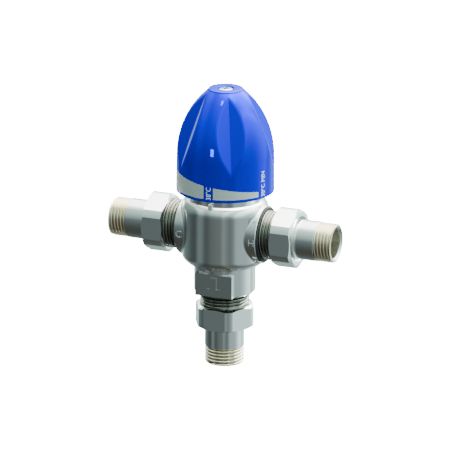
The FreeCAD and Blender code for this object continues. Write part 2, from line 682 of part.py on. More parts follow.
def element_cup():
    """Wax cup, crimped flange and guide neck, bored for the pin."""
    return turned(
        (0, -CUP_BOTTOM),
        (CUP_R, -CUP_BOTTOM),
        (CUP_R, CUP_FLANGE_BOTTOM),
        (CUP_FLANGE_R, CUP_FLANGE_BOTTOM),
        (CUP_FLANGE_R, -CUP_FLANGE_TOP),
        (GUIDE_R, -CUP_FLANGE_TOP),
        (GUIDE_R, GUIDE_TOP),
        (PIN_R + RUNNING_FIT, GUIDE_TOP),
        (PIN_R + RUNNING_FIT, PIN_WELL),
        (0, PIN_WELL),
    )


def element_pin():
    return rod(PIN_R, -PIN_FOOT, PIN_TOP)


def return_spring():
    radius = CUP_FLANGE_R - RETURN_SPRING_WIRE
    return coil_spring(radius, RETURN_SPRING_WIRE, SPRING_LEDGE, CUP_FLANGE_BOTTOM, RETURN_SPRING_TURNS)


# ---- bonnet ---------------------------------------------------------------------------------------
def stop_segment():
    """Raised segment on the flange that the knob's rib meets at either end of its travel."""
    rib_half_angle = math.degrees(math.asin(STOP_RIB_THICK / 2 / STOP_INNER_R))
    margin = rib_half_angle + STOP_GAP_DEG
    start = STOP_RIB_ANGLE + TURN_TO_MAX + margin
    sweep = FULL_TURN - TURN_TO_MIN - TURN_TO_MAX - 2 * margin
    top = FLANGE_TOP + STOP_HEIGHT
    section = Part.Face(Part.makePolygon([
        V(STOP_INNER_R, 0, FLANGE_TOP),
        V(STOP_R, 0, FLANGE_TOP),
        V(STOP_R, 0, top),
        V(STOP_INNER_R, 0, top),
        V(STOP_INNER_R, 0, FLANGE_TOP),
    ]))
    segment = section.revolve(V(0, 0, 0), UP, sweep)
    segment.rotate(V(0, 0, 0), UP, start)
    return segment


def bonnet():
    skirt_r = CHAMBER_R - FIXED_FIT
    thread_r = SOCKET_R - FIXED_FIT
    outside = turned(
        (0, SEAT_HEIGHT),
        (skirt_r, SEAT_HEIGHT),
        (skirt_r, SOCKET_FLOOR),
        (thread_r, SOCKET_FLOOR),
        (thread_r, DOME_TOP),
        (FLANGE_R, DOME_TOP),
        (FLANGE_R, FLANGE_TOP - FLANGE_EDGE),
        (FLANGE_R - FLANGE_EDGE, FLANGE_TOP),
        (COLUMN_R, FLANGE_TOP),
        (COLUMN_R, BONNET_TOP - COLUMN_NECK),
        (COLUMN_NECK_R, BONNET_TOP - COLUMN_NECK),
        (COLUMN_NECK_R, BONNET_TOP),
        (0, BONNET_TOP),
    )
    drive = hexagon(BONNET_HEX, FLANGE_TOP, FLANGE_TOP + BONNET_HEX_HEIGHT)
    inside = turned(
        (0, SEAT_HEIGHT - 1),
        (skirt_r - SKIRT_WALL, SEAT_HEIGHT - 1),
        (skirt_r - SKIRT_WALL, SOCKET_FLOOR),
        (ADJUSTER_BORE_R, SOCKET_FLOOR),
        (ADJUSTER_BORE_R, ADJUSTER_BORE_TOP),
        (THRUST_COLLAR_R + RUNNING_FIT, ADJUSTER_BORE_TOP),
        (THRUST_COLLAR_R + RUNNING_FIT, THRUST_SHOULDER),
        (SPINDLE_BORE_R, THRUST_SHOULDER),
        (SPINDLE_BORE_R, BONNET_TOP + 1),
        (0, BONNET_TOP + 1),
    )
    keyways = block(-KEYWAY_REACH, KEYWAY_REACH, -KEYWAY_WIDTH / 2, KEYWAY_WIDTH / 2,
                    SOCKET_FLOOR, ADJUSTER_BORE_TOP)
    return outside.fuse([drive, stop_segment()]).cut([inside, keyways])


def bonnet_seal():
    return o_ring(SOCKET_R - FIXED_FIT, SEAL_SEAT_R, (SEAL_SEAT_FLOOR + DOME_TOP) / 2)


# ---- spindle and adjuster -------------------------------------------------------------------------
def spindle_seal_height(number):
    return THRUST_SHOULDER + SPINDLE_SEAL_START + number * SPINDLE_SEAL_STEP


def spindle():
    collar_top = THRUST_SHOULDER - END_FLOAT
    spline_start = HUB_BOTTOM - SPLINE_RUNOUT
    shaft = rod(SPINDLE_R, ADJUSTER_ROOM_TOP + END_FLOAT, spline_start)
    collar = rod(THRUST_COLLAR_R, collar_top - THRUST_COLLAR, collar_top)
    spline = splined(SPINDLE_R - FIXED_FIT, SPLINE_TEETH, SPLINE_DEPTH, spline_start, SPINDLE_TOP)
    cuts = [rod(SHANK_R + FIXED_FIT, SPINDLE_TOP - SCREW_HOLE, SPINDLE_TOP + 1)]
    half = (SPINDLE_SEAL_WIRE + SEAL_SIDE_ROOM) / 2
    for number in range(SPINDLE_SEALS):
        height = spindle_seal_height(number)
        cuts.append(ring(SPINDLE_R + 1, SPINDLE_R - SPINDLE_SEAL_WIRE, height - half, height + half))
    cuts.append(ring(SPINDLE_R + 1, SPINDLE_R - CLIP_GROOVE, CLIP_BOTTOM, CLIP_TOP))
    return shaft.fuse([collar, spline]).cut(cuts)


def spindle_seal(number):
    return o_ring(SPINDLE_R - SPINDLE_SEAL_WIRE, SPINDLE_BORE_R, spindle_seal_height(number))


def spindle_circlip():
    inner_r = SPINDLE_R - CLIP_GROOVE + FIXED_FIT
    outer_r = inner_r + CLIP_WALL
    clip = ring(outer_r, inner_r, CLIP_BOTTOM + FIXED_FIT, CLIP_TOP - FIXED_FIT)
    gap = block(0, outer_r + 1, -CLIP_GAP / 2, CLIP_GAP / 2, CLIP_BOTTOM - 1, CLIP_TOP + 1)
    return clip.cut(gap)


def adjuster_nut():
    """Keyed nut that the spindle raises and lowers. It holds the overtravel spring and the thrust cup."""
    groove_r = ADJUSTER_ROOM_R + RETAINER_GROOVE
    shell = turned(
        (ADJUSTER_ROOM_R, ADJUSTER_BOTTOM),
        (ADJUSTER_R, ADJUSTER_BOTTOM),
        (ADJUSTER_R, ADJUSTER_TOP),
        (SPINDLE_BORE_R, ADJUSTER_TOP),
        (SPINDLE_BORE_R, ADJUSTER_ROOM_TOP),
        (ADJUSTER_ROOM_R, ADJUSTER_ROOM_TOP),
        (ADJUSTER_ROOM_R, RETAINER_TOP),
        (groove_r, RETAINER_TOP),
        (groove_r, RETAINER_BOTTOM),
        (ADJUSTER_ROOM_R, RETAINER_BOTTOM),
    )
    reach = KEYWAY_REACH - RUNNING_FIT
    half = KEYWAY_WIDTH / 2 - RUNNING_FIT
    lugs = block(-reach, reach, -half, half, ADJUSTER_TOP - LUG_HEIGHT, ADJUSTER_TOP)
    lugs = lugs.cut(rod(ADJUSTER_ROOM_R, ADJUSTER_BOTTOM, ADJUSTER_TOP + 1))
    return shell.fuse(lugs)


def thrust_retainer():
    outer_r = ADJUSTER_ROOM_R + RETAINER_GROOVE - FIXED_FIT
    return ring(outer_r, outer_r - RETAINER_WALL, RETAINER_BOTTOM + FIXED_FIT, RETAINER_TOP - FIXED_FIT)


def thrust_cup():
    """Cup that the spring holds down on its retaining ring, with a socket for the element's pin."""
    flange_r = ADJUSTER_ROOM_R - RUNNING_FIT
    return turned(
        (PIN_R + FIXED_FIT, THRUST_BOSS_BOTTOM),
        (THRUST_BOSS_R, THRUST_BOSS_BOTTOM),
        (THRUST_BOSS_R, RETAINER_TOP),
        (flange_r, RETAINER_TOP),
        (flange_r, THRUST_TOP),
        (0, THRUST_TOP),
        (0, PIN_TOP),
        (PIN_R + FIXED_FIT, PIN_TOP),
    )


def overtravel_spring():
    radius = ADJUSTER_ROOM_R - OVERTRAVEL_SPRING_WIRE - OVERTRAVEL_SPRING_GAP
    return coil_spring(radius, OVERTRAVEL_SPRING_WIRE, THRUST_TOP, ADJUSTER_ROOM_TOP,
                       OVERTRAVEL_SPRING_TURNS)


# ---- knob -----------------------------------------------------------------------------------------
def dome_radius(height, inset=0.0):
    """Radius of the knob's dome at a height, or of the surface a wall's thickness inside it."""
    arc_r = DOME_ARC_R - inset
    return DIAL_R - DOME_ARC_R + math.sqrt(arc_r ** 2 - (height - KNOB_DOME_START) ** 2)


def skirt_radius(height):
    rise = (height - KNOB_BOTTOM) / (KNOB_DOME_START - KNOB_BOTTOM)
    return KNOB_R - KNOB_DRAFT * rise


def knob_solid(inset, bottom, top):
    """The knob's outer form, or the same form a wall's thickness inside."""
    middle = (KNOB_DOME_START + top) / 2
    return turned(
        (0, bottom),
        (skirt_radius(bottom) - inset, bottom),
        (DIAL_R - inset, KNOB_DOME_START),
        (dome_radius(middle, inset), middle, dome_radius(top, inset), top),
        (0, top),
    )


def flute_cutter(inset):
    """V-shaped cutter whose creased edge is an arc from the skirt up to the knob's top.

    It is a V-section turned about a level axis on the far side of the spindle.
    """
    foot_height = KNOB_BOTTOM + FLUTE_START
    head_height = KNOB_TOP - FLUTE_END_DROP
    foot = V(skirt_radius(foot_height) - inset, 0, foot_height)
    head = V(dome_radius(head_height) - inset, 0, head_height)
    chord = head - foot
    half_chord = chord.Length / 2
    crease_r = (half_chord ** 2 + FLUTE_BOW ** 2) / (2 * FLUTE_BOW)
    outward = V(chord.z, 0, -chord.x).normalize()
    centre = (foot + head) * 0.5 - outward * (crease_r - FLUTE_BOW)
    depth = KNOB_R + inset
    half_width = depth / math.tan(math.radians(FLUTE_SLOPE))
    apex = centre + outward * crease_r
    shoulder = apex + outward * depth
    section = Part.Face(Part.makePolygon([
        apex,
        shoulder + V(0, half_width, 0),
        shoulder - V(0, half_width, 0),
        apex,
    ]))
    swing = math.degrees((1 + FLUTE_OVERRUN) * half_chord / crease_r)
    section.rotate(centre, V(0, 1, 0), swing)
    return section.revolve(centre, V(0, 1, 0), -2 * swing)


def temperature_knob():
    outer = knob_solid(0, KNOB_BOTTOM, KNOB_TOP)
    outer = outer.cut(around(flute_cutter(0), FLUTES, FLUTE_ANGLE))
    cavity = knob_solid(KNOB_WALL, KNOB_BOTTOM - 1, KNOB_TOP - KNOB_TOP_WALL)
    cavity = cavity.cut(around(flute_cutter(KNOB_WALL), FLUTES, FLUTE_ANGLE))
    shell = outer.cut(cavity)

    ceiling = KNOB_TOP - KNOB_TOP_WALL / 2
    hub = rod(HUB_R, HUB_BOTTOM, ceiling)
    rib_bottom = HUB_BOTTOM + RIB_RISE
    rib = block(0, KNOB_R, -RIB_THICK / 2, RIB_THICK / 2, rib_bottom, ceiling)
    ribs = around(rib, RIBS, FLUTE_ANGLE + 180 / RIBS).common(knob_solid(KNOB_WALL / 2, rib_bottom, ceiling))
    stop_rib = block(STOP_INNER_R, KNOB_R, -STOP_RIB_THICK / 2, STOP_RIB_THICK / 2,
                     FLANGE_TOP + END_FLOAT, KNOB_DOME_START)
    stop_rib.rotate(V(0, 0, 0), UP, STOP_RIB_ANGLE)
    stop_rib = stop_rib.common(knob_solid(KNOB_WALL / 2, KNOB_BOTTOM, KNOB_TOP - KNOB_TOP_WALL))

    socket = splined(SPINDLE_R, SPLINE_TEETH, SPLINE_DEPTH, HUB_BOTTOM - 1, SPINDLE_TOP + END_FLOAT)
    screw_way = rod(SHANK_R + HEAD_GAP / 2, SPINDLE_TOP, KNOB_TOP)
    head_well = rod(HEAD_R + HEAD_GAP, HEAD_BOTTOM, KNOB_TOP + 1)
    return shell.fuse([hub, ribs, stop_rib]).cut([socket, screw_way, head_well])


def knob_screw():
    """Pan-head screw; its drive recess is left plain."""
    side_top = HEAD_BOTTOM + HEAD_HEIGHT / 2
    bulge = math.sqrt(0.5)
    crown_run = HEAD_R - HEAD_CROWN_R
    head = turned(
        (0, HEAD_BOTTOM),
        (HEAD_R, HEAD_BOTTOM),
        (HEAD_R, side_top),
        (HEAD_CROWN_R + crown_run * bulge, side_top + (HEAD_TOP - side_top) * bulge, HEAD_CROWN_R, HEAD_TOP),
        (0, HEAD_TOP),
    )
    return rod(SHANK_R, SPINDLE_TOP - SCREW_HOLE + END_FLOAT, HEAD_BOTTOM).fuse(head)


# ---- the valve ------------------------------------------------------------------------------------
def main():
    write_part("valve_body", valve_body())
    write_part("bonnet", bonnet())
    write_part("bonnet_o_ring", bonnet_seal())
    write_part("hot_seat_ring", hot_seat_ring())

    write_part("temperature_knob", temperature_knob())
    write_part("knob_screw", knob_screw())
    write_part("spindle", spindle())
    write_part("spindle_circlip", spindle_circlip())
    for number in range(SPINDLE_SEALS):
        write_part(f"spindle_o_ring_{number + 1}", spindle_seal(number))

    write_part("adjuster_nut", adjuster_nut())
    write_part("overtravel_spring", overtravel_spring())
    write_part("thrust_cup", thrust_cup())
    write_part("thrust_retainer", thrust_retainer())
    write_part("element_pin", element_pin())

    write_part("shuttle", shuttle())
    write_part("shuttle_o_ring", shuttle_seal())
    write_part("element_cup", element_cup())
    write_part("return_spring", return_spring())

    for name, side in (("cold", -1), ("hot", 1)):
        write_part(f"{name}_check_housing", to_inlet(check_housing(), side))
        write_part(f"{name}_check_o_ring", to_inlet(check_seal(), side))
        write_part(f"{name}_check_poppet", to_inlet(check_poppet(), side))
        write_part(f"{name}_check_spring", to_inlet(check_spring(), side))
        write_part(f"{name}_strainer", to_inlet(strainer(), side))
        write_part(f"{name}_union_nut", to_inlet(union_nut(), side))
        write_part(f"{name}_gasket", to_inlet(union_gasket(), side))
        write_part(f"{name}_union_tail", to_inlet(union_tail(), side))

    write_part("outlet_union_nut", to_outlet(union_nut()))
    write_part("outlet_gasket", to_outlet(union_gasket()))
    write_part("outlet_union_tail", to_outlet(union_tail()))


main()
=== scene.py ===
"""Visual model of a three-way thermostatic mixing valve.

The valve stands on the end face of its outlet tail. +Z runs up the spindle, +X towards the hot inlet
and -Y towards the front. The valve's lengths are in millimetres and turn into metres where a mesh is
made; floor, lights and camera are in metres. Port pieces are laid out along the port's own +Z, out from
the body, with zero on the port's shoulder.
"""

import json
import math

import bmesh
import bpy
from mathutils import Matrix, Vector

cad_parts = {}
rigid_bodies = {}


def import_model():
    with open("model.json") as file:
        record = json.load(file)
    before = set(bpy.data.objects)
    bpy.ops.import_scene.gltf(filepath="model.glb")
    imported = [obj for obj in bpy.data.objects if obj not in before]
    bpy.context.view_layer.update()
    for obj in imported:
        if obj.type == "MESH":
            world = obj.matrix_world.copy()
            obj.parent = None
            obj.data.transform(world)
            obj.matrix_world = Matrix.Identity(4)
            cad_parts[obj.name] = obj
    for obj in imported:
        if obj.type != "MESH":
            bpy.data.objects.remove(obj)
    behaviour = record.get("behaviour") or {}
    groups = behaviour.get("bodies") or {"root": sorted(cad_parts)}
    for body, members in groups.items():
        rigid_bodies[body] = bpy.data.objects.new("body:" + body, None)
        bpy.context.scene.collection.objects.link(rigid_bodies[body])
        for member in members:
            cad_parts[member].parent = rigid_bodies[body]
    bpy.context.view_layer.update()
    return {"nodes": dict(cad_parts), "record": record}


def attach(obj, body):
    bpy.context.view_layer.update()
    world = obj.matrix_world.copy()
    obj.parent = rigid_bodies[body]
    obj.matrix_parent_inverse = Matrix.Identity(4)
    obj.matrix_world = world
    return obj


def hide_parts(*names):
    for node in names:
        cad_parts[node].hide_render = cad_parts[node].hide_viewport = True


for leftover in list(bpy.data.objects):
    bpy.data.objects.remove(leftover)

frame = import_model()

MM = 0.001
ROUND = 128                 # columns of a turned piece
MERGE = 2e-6                # vertices closer than this, in metres, become one
EDGE = 0.15                 # broken edge of a turned piece

# ---- sizes ----------------------------------------------------------------------------------------
# ports, with heights from a port's shoulder
AXIS_HEIGHT = 73.7          # inlets' axis
INLET_SHOULDER = 23.2
OUTLET_SHOULDER = 33.6
BOSS_R = 15.6
PORT_CORE_R = 12.06
PORT_CREST_R = 13.2
PORT_THREAD_START = 1.1
PORT_THREAD_END = 6.95
PITCH = 1.814
SHADE_RING_R = 14.6               # painted shade: dark ring against a port's shoulder, for the shadowed thread undercut
SHADE_RING_THICK = 1.0
SHADE_RING_GAP = 0.01
GASKET_END = 15.0
COLLAR_END = 17.6
COLLAR_R = 11.9
TAIL_R = 10.6
TAIL_PLAIN_END = 30.5
TAIL_THREAD_START = TAIL_PLAIN_END + 0.1
TAIL_ROOT_R = 9.32
TAIL_CREST_R = 10.478
TAIL_END = 40.1
TAIL_EDGE = 0.8
TAIL_BORE_R = 8.0
TAIL_MOUTH = 1.1            # countersink of the tail's bore

# knob, with heights from its lower edge
KNOB_BOTTOM = AXIS_HEIGHT + 22.4
KNOB_R = 26.05
KNOB_DRAFT = 0.18
KNOB_SKIRT = 19.6
KNOB_HEIGHT = 55.6
KNOB_TOP_R = 8.6
KNOB_WALL = 2.2
KNOB_CEILING = 52.6
KNOB_LOWER_EDGE = 0.35      # rounding of the lower edge
KNOB_TOP_EDGE = 0.7         # rounding round the top disc
FLUTES = 5
FLUTE_ANGLE = -61.0         # bearing of one flute's crease
FLUTE_START = 15.2
FLUTE_END_DROP = 2.8        # where a flute ends, below the knob's top
FLUTE_BOW = 0.5             # how far a crease bows out from its chord
FLUTE_SLOPE = 21.0          # a flute's walls against the tangent, in degrees
FLUTE_ROUNDING = 0.7        # how softly a flute's wall runs into the dome
HUB_R = 7.4
HUB_START = 21.1
HUB_BORE_R = 4.9
KNOB_COLUMNS = 480
INSIDE_ROWS = 30
SKIRT_ROWS = 48
DOME_ROWS = 96

# knob screw
HEAD_R = 3.9
HEAD_HEIGHT = 2.2
HEAD_SINK = 0.2             # its top below the knob's
HEAD_GAP = 0.4              # air between the head and its well
HEAD_CROWN_R = 1.7          # rounding of the head, across and down
HEAD_CROWN_DROP = 1.1
SHANK_R = 1.95
SHANK_LENGTH = 26.0
RECESS_HALF = 0.55          # cross recess: half the width of a slot
RECESS_REACH = 2.3
RECESS_DEPTH = 1.5
RECESS_MOUTH = 1.2          # how the recess tapers, from above the head to its floor
RECESS_TIP = 0.55

# printed dial, with bearings from the pointer, anticlockwise seen from above
PRINT_PROUD = 0.03          # print over the plastic
BAND_FOOT = 1.6             # lower edge of the band above the knob's
BAND_MIDDLE = 6.9           # its height at the pointer
BAND_TAPER = 0.0644         # what it loses for each degree towards cold
BAND_MIN_END = 64.0
BAND_MAX_END = -132.0
BAND_ROWS = 9
GAP_START = -3.9            # break in the band that holds the middle temperature
GAP_END = 7.6
DIAL_TEXT = 2.85            # height of the figures
TEXT_NARROW = 0.87          # and how narrow they are drawn
TEXT_SLICES = 12            # cuts that let them follow the skirt

# marks on the casting
MARK_SUNK = 0.1             # how far a raised mark reaches into the metal
LETTER_HEIGHT = 3.6
LETTER_PROUD = 0.45
LETTER_WEIGHT = -0.02       # thins the strokes, as a share of the font's size
LETTER_BEARING = -2.0       # up from the front of a boss
ARROW_FACE_Y = -16.2
ARROW_PROUD = 0.4
ARROW_TIP = 41.2
ARROW_BARB = 45.1
ARROW_END = 51.4
ARROW_HALF_HEAD = 4.0
ARROW_HALF_SHAFT = 1.85
ARROW_TAPER = 0.93          # how much narrower its face is than its foot


# ---- meshes ---------------------------------------------------------------------------------------
def new_piece(name, verts, faces, finish, body, sharp=30.0):
    """Mesh object from points in millimetres, riding on a CAD body.

    Edges over the sharp angle stay crisp.
    """
    mesh = bpy.data.meshes.new(name)
    mesh.from_pydata([Vector(v) * MM for v in verts], [], faces)
    obj = bpy.data.objects.new(name, mesh)
    bpy.context.scene.collection.objects.link(obj)
    tidy_mesh(mesh, sharp)
    mesh.materials.append(finish)
    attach(obj, body)
    return obj


def tidy_mesh(mesh, sharp):
    bm = bmesh.new()
    bm.from_mesh(mesh)
    bmesh.ops.remove_doubles(bm, verts=bm.verts, dist=MERGE)
    bmesh.ops.dissolve_degenerate(bm, edges=bm.edges, dist=MERGE / 2)
    bmesh.ops.recalc_face_normals(bm, faces=bm.faces)
    bm.to_mesh(mesh)
    bm.free()
    mesh.shade_smooth()
    mesh.set_sharp_from_angle(angle=math.radians(sharp))


def around(radius, degrees):
    return radius * math.cos(math.radians(degrees)), radius * math.sin(math.radians(degrees))


def grid_faces(columns, rows, first=0):
    """Quads of a grid with a vertex for every column and row, stored row by row."""
    faces = []
    for row in range(rows - 1):
        for col in range(columns - 1):
            a = first + row * columns + col
            faces.append((a, a + 1, a + columns + 1, a + columns))
    return faces


def sweep(rows, columns, radius_and_height):
    """Surface round +Z: radius_and_height(row, turn) gives (radius, height); turn runs from 0 to 1."""
    verts = []
    for row in range(rows):
        for col in range(columns + 1):
            turn = col / columns
            radius, height = radius_and_height(row, turn)
            x, y = around(radius, 360 * turn)
            verts.append((x, y, height))
    return verts, grid_faces(columns + 1, rows)


def lathe(outline, columns=ROUND):
    return sweep(len(outline), columns, lambda row, turn: outline[row])


def join(*parts):
    """Several (verts, faces) as one."""
    verts, faces = [], []
    for part_verts, part_faces in parts:
        first = len(verts)
        verts += part_verts
        faces += [tuple(first + i for i in face) for face in part_faces]
    return verts, faces


def moved(part, matrix):
    verts, faces = part
    return [tuple(matrix @ Vector(v)) for v in verts], faces


PORTS = {
    "cold": Matrix.Translation((-INLET_SHOULDER, 0, AXIS_HEIGHT)) @ Matrix.Rotation(-math.pi / 2, 4, "Y"),
    "hot": Matrix.Translation((INLET_SHOULDER, 0, AXIS_HEIGHT)) @ Matrix.Rotation(math.pi / 2, 4, "Y"),
    "outlet": Matrix.Translation((0, 0, AXIS_HEIGHT - OUTLET_SHOULDER)) @ Matrix.Rotation(math.pi, 4, "X"),
}


# ---- threads --------------------------------------------------------------------------------------
# a ridge's section over one pitch: (share of the pitch, share of the ridge's height)
RIDGE = ((0.0, 0.0), (0.12, 0.05), (0.40, 0.93), (0.5, 1.0), (0.60, 0.93), (0.88, 0.05))


def thread(root_r, crest_r, start, end, limit=None):
    """Right-hand outside thread between two heights.

    limit(height) may hold the radius down, as a chamfer does.
    """
    steps = len(RIDGE)
    pitches = math.ceil((end - start) / PITCH) + 2

    def point(row, turn):
        share, rise = RIDGE[row % steps]
        height = start + (row // steps - 1 + share + turn) * PITCH
        radius = root_r + (crest_r - root_r) * rise
        if height < start or height > end:
            height = min(max(height, start), end)
            radius = ridge_radius(root_r, crest_r, (height - start) / PITCH - turn)
        if limit:
            radius = min(radius, limit(height))
        return radius, height

    ridge = sweep(steps * pitches, ROUND, point)
    ends = [thread_end(root_r, crest_r, start, height) for height in (start, end)]
    return join(ridge, *ends)


def ridge_radius(root_r, crest_r, pitches):
    """Radius of the thread at a number of pitches past its start."""
    share = pitches % 1.0
    stops = RIDGE + ((1.0, 0.0),)
    for (a, rise_a), (b, rise_b) in zip(stops, stops[1:]):
        if a <= share <= b:
            rise = rise_a + (rise_b - rise_a) * (share - a) / (b - a)
            return root_r + (crest_r - root_r) * rise
    return root_r


def thread_end(root_r, crest_r, start, height):
    """Flat end of a ridge where it runs out at a height."""
    def point(row, turn):
        if row == 0:
            return root_r - EDGE, height
        return ridge_radius(root_r, crest_r, (height - start) / PITCH - turn), height

    return sweep(2, ROUND, point)


# ---- materials ------------------------------------------------------------------------------------
def material(name, colour, metallic, roughness):
    mat = bpy.data.materials.new(name)
    mat.use_nodes = True
    shader = mat.node_tree.nodes["Principled BSDF"]
    shader.inputs["Base Color"].default_value = (*colour, 1)
    shader.inputs["Metallic"].default_value = metallic
    shader.inputs["Roughness"].default_value = roughness
    return mat


def noise(mat, scale, detail=2.0):
    """Noise over the surface, in object space, with scale in cells a metre."""
    nodes, links = mat.node_tree.nodes, mat.node_tree.links
    where = nodes.new("ShaderNodeTexCoord")
    cloud = nodes.new("ShaderNodeTexNoise")
    cloud.inputs["Scale"].default_value = scale
    cloud.inputs["Detail"].default_value = detail
    links.new(where.outputs["Object"], cloud.inputs["Vector"])
    return cloud.outputs["Fac"]


def add_bump(mat, scale, depth, strength):
    nodes, links = mat.node_tree.nodes, mat.node_tree.links
    bump = nodes.new("ShaderNodeBump")
    bump.inputs["Distance"].default_value = depth
    bump.inputs["Strength"].default_value = strength
    links.new(noise(mat, scale), bump.inputs["Height"])
    links.new(bump.outputs["Normal"], nodes["Principled BSDF"].inputs["Normal"])


def vary_roughness(mat, scale, low, high):
    nodes, links = mat.node_tree.nodes, mat.node_tree.links
    spread = nodes.new("ShaderNodeMapRange")
    spread.inputs["To Min"].default_value = low
    spread.inputs["To Max"].default_value = high
    links.new(noise(mat, scale, 4.0), spread.inputs["Value"])
    links.new(spread.outputs["Result"], nodes["Principled BSDF"].inputs["Roughness"])


def plated(name, colour, low, high):
    """Nickel plate: a faint ripple of the metal under it, and slightly uneven polish."""
    mat = material(name, colour, 1.0, (low + high) / 2)
    vary_roughness(mat, scale=180.0, low=low, high=high)
    add_bump(mat, scale=420.0, depth=0.00006, strength=0.12)
    return mat


CAST_NICKEL = plated("cast_nickel", (0.68, 0.68, 0.67), 0.10, 0.16)
TURNED_NICKEL = plated("turned_nickel", (0.70, 0.70, 0.69), 0.07, 0.13)
TAIL_THREAD_FINISH = plated("tail_thread", (0.70, 0.59, 0.44), 0.14, 0.22)
# painted shade: the port threads' plating darkened for the shadow between the nuts and the bosses
PORT_THREAD_PAINTED_SHADE = plated("port_thread", (0.24, 0.225, 0.20), 0.12, 0.20)
# satin roughness is real; the base paler than the casting's is painted highlight on the letters and the nub
SATIN_NICKEL_PAINTED_LIGHT = plated("satin_nickel_painted_light", (0.93, 0.93, 0.92), 0.50, 0.60)
# painted light: a pale, rough finish that brightens the inside of the tail bores
BORE_PAINTED_LIGHT = plated("bore_painted_light", (0.76, 0.72, 0.62), 0.26, 0.34)
NUT_NICKEL = plated("nut_nickel", (0.90, 0.91, 0.90), 0.07, 0.13)
CHROME = material("chrome", (0.80, 0.80, 0.81), 1.0, 0.08)
BRASS = material("plain_brass", (0.80, 0.60, 0.27), 1.0, 0.28)
STEEL = material("stainless", (0.68, 0.68, 0.68), 1.0, 0.25)
# painted shade: a dark copy of the screw's chrome for the inside of its recess
RECESS_PAINTED_SHADE = material("screw_recess_painted_shade", (0.10, 0.10, 0.11), 1.0, 0.35)
# black rubber of the CAD seals, also used for the painted shade rings on the port shoulders
RUBBER_AND_PAINTED_SHADE = material("seal_rubber", (0.02, 0.02, 0.02), 0.0, 0.65)
WHITE_PLASTIC = material("valve_plastic", (0.78, 0.77, 0.74), 0.0, 0.45)
BLACK_PLASTIC = material("shuttle_plastic", (0.05, 0.05, 0.05), 0.0, 0.5)
BAND_PRINT = material("band_print", (0.47, 0.50, 0.49), 0.15, 0.38)
WHITE_PRINT = material("white_print", (0.86, 0.88, 0.90), 0.0, 0.4)


def knob_plastic():
    """Deep glossy blue whose highlights stay blue."""
    mat = material("blue_plastic", (0.0, 0.0, 0.62), 0.5, 0.05)
    shader = mat.node_tree.nodes["Principled BSDF"]
    shader.inputs["Specular IOR Level"].default_value = 0.25
    shader.inputs["Specular Tint"].default_value = (0.02, 0.06, 1.0, 1)
    add_bump(mat, scale=900.0, depth=0.00001, strength=0.15)
    return mat


BLUE_PLASTIC = knob_plastic()


# ---- knob -----------------------------------------------------------------------------------------
DIAL_R = KNOB_R - PRINT_PROUD - KNOB_DRAFT
DOME_SPAN_R = DIAL_R - KNOB_TOP_R
DOME_SPAN_Z = KNOB_HEIGHT - KNOB_SKIRT
DOME_ARC_R = (DOME_SPAN_R ** 2 + DOME_SPAN_Z ** 2) / (2 * DOME_SPAN_R)


def profile_radius(rise, inset=0.0):
    """Radius of the knob without its flutes, at a height above its lower edge."""
    if rise <= KNOB_SKIRT:
        return DIAL_R + KNOB_DRAFT * (1 - rise / KNOB_SKIRT) - inset
    return DIAL_R - DOME_ARC_R + math.sqrt((DOME_ARC_R - inset) ** 2 - (rise - KNOB_SKIRT) ** 2)


def flute_arc(inset):
    """Centre and radius of the arc that a flute's crease follows, in (radius, height)."""
    head_rise = KNOB_HEIGHT - FLUTE_END_DROP
    foot = Vector((profile_radius(FLUTE_START, inset), FLUTE_START))
    head = Vector((profile_radius(head_rise, inset), head_rise))
    chord = head - foot
    half = chord.length / 2
    arc_r = (half ** 2 + FLUTE_BOW ** 2) / (2 * FLUTE_BOW)
    outward = Vector((chord.y, -chord.x)).normalized()
    return (foot + head) / 2 - outward * (arc_r - FLUTE_BOW), arc_r


def flute_radius(off, rise, arc):
    """Distance from the spindle to a flute's wall, off degrees to the side of its crease."""
    centre, arc_r = arc
    slope = math.tan(math.radians(FLUTE_SLOPE))
    side, ahead = abs(math.sin(math.radians(off))), math.cos(math.radians(off))
    radius = DIAL_R
    for _ in range(12):                             # settles to far below a micrometre
        reach = arc_r + radius * side * slope
        radius = (centre.x + math.sqrt(reach ** 2 - (rise - centre.y) ** 2)) / ahead
    return radius


def soft_min(a, b, width):
    blend = min(max(0.5 + 0.5 * (b - a) / width, 0.0), 1.0)
    return b + (a - b) * blend - width * blend * (1 - blend)


OUTER_ARC = flute_arc(0.0)
INNER_ARC = flute_arc(KNOB_WALL)


def knob_radius(degrees, rise, inset=0.0):
    step = 360 / FLUTES
    off = (degrees - FLUTE_ANGLE + step / 2) % step - step / 2
    arc = INNER_ARC if inset else OUTER_ARC
    wall = flute_radius(off, rise, arc)
    return soft_min(profile_radius(rise, inset), wall, FLUTE_ROUNDING)


def knob_rows():
    """Heights up the outside, without the roundings of its lower edge and its top."""
    skirt = [KNOB_LOWER_EDGE + i * (KNOB_SKIRT - KNOB_LOWER_EDGE) / SKIRT_ROWS for i in range(SKIRT_ROWS)]
    dome_end = KNOB_HEIGHT - KNOB_TOP_EDGE
    dome = [KNOB_SKIRT + i * (dome_end - KNOB_SKIRT) / DOME_ROWS for i in range(DOME_ROWS + 1)]
    return skirt + dome


